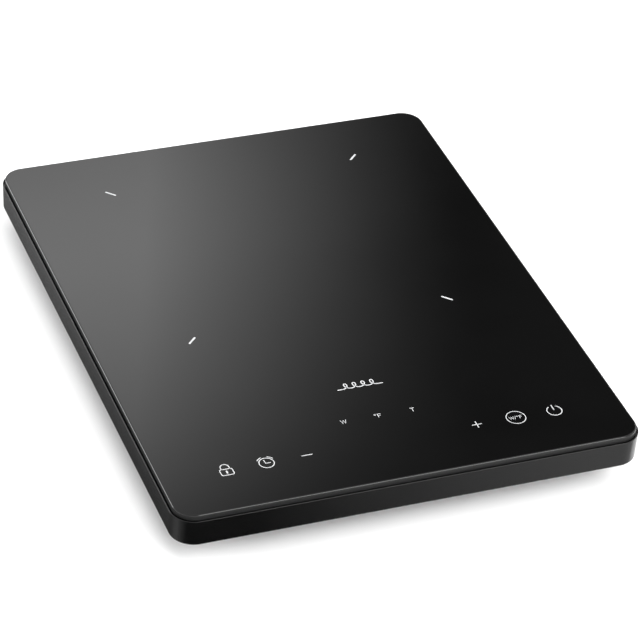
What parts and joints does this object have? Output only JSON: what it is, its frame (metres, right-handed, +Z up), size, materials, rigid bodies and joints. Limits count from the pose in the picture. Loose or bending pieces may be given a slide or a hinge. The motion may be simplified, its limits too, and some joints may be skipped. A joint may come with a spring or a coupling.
{
  "type": "induction cooktop",
  "caption": "Portable induction cooktop: a flat black glass top on a thin black plastic body, with touch keys along the front edge and a cooling fan underneath.",
  "frame": {"origin": "on the floor under the middle of the body, level with the feet", "axes": "+X to the cook's right, +Y away from the cook, +Z up; the touch keys are along the front edge at -Y"},
  "size_m": [0.283, 0.363, 0.041],
  "materials": {
    "black_glass": "polished black glass-ceramic, opaque",
    "frame_plastic": "satin black moulding",
    "tub_plastic": "fine-textured black moulding",
    "rubber": "matte",
    "silicone_seal": "black silicone bead",
    "silicone_stand": "grey-white silicone",
    "screw_steel": "zinc plated",
    "spring_steel": "plated spring wire",
    "aluminium_sheet": "mill finish",
    "aluminium_extrusion": "extruded, satin",
    "sensor_bead": "pressed cap",
    "copper_wire": "enamelled copper",
    "bearing_bronze": "sintered bronze",
    "ferrite": "dark grey ferrite",
    "mica": "pressed mica board",
    "former_plastic": "glass-filled plastic",
    "fan_plastic": "black moulding",
    "circuit_board": "green solder mask",
    "black_epoxy": "moulded epoxy",
    "red_film": "dipped resin",
    "blue_film": "dipped resin",
    "yellow_film": "moulded case",
    "display_case": "black case",
    "fuse_glass": "clear tube, plated caps",
    "terminal_plastic": "grey moulding",
    "lead_sleeve": "red braided sleeve",
    "ribbon": "grey flat cable"
  },
  "bodies": {
    "housing": {"bottom_housing": "tub_plastic", "bridge_rectifier": "black_epoxy", "buzzer": "black_epoxy", "coil_former": "former_plastic", "coil_lead_inner": "lead_sleeve", "coil_lead_outer": "lead_sleeve", "coil_screw_1": "screw_steel", "coil_screw_2": "screw_steel", "coil_screw_3": "screw_steel", "coil_shield": "aluminium_sheet", "coil_winding": "copper_wire", "control_board": "circuit_board", "cord_gland": "rubber", "dc_link_capacitor": "red_film", "display_module": "display_case", "fan_bearing": "bearing_bronze", "fan_frame": "fan_plastic", "fan_stator": "copper_wire", "ferrite_bar_1": "ferrite", "ferrite_bar_2": "ferrite", "ferrite_bar_3": "ferrite", "ferrite_bar_4": "ferrite", "ferrite_bar_5": "ferrite", "ferrite_bar_6": "ferrite", "filter_capacitor": "yellow_film", "foot_front_left": "rubber", "foot_front_right": "rubber", "foot_rear_left": "rubber", "foot_rear_right": "rubber", "glass_gasket": "silicone_seal", "glass_plate": "black_glass", "heat_sink": "aluminium_extrusion", "housing_screw_1": "screw_steel", "housing_screw_2": "screw_steel", "housing_screw_3": "screw_steel", "housing_screw_4": "screw_steel", "igbt_switch": "black_epoxy", "mains_fuse": "fuse_glass", "mains_terminal": "terminal_plastic", "mica_sheet": "mica", "pan_thermistor": "sensor_bead", "power_board": "circuit_board", "resonant_capacitor": "blue_film", "ribbon_cable": "ribbon", "sensor_holder": "silicone_stand", "smoothing_choke": "copper_wire", "standby_transformer": "ferrite", "surge_varistor": "blue_film", "top_frame": "frame_plastic", "touch_spring_lock": "spring_steel", "touch_spring_minus": "spring_steel", "touch_spring_mode": "spring_steel", "touch_spring_plus": "spring_steel", "touch_spring_power": "spring_steel", "touch_spring_timer": "spring_steel"},
    "fan": {"fan_rotor": "fan_plastic", "fan_shaft": "screw_steel", "fan_magnet": "ferrite"}
  },
  "joints": [
    {"name": "fan_spin", "type": "hinge", "parent": "housing", "child": "fan", "pos_m": [-0.063, -0.092, 0.0172], "axis": [0, 0, 1], "continuous": true}
  ]
}
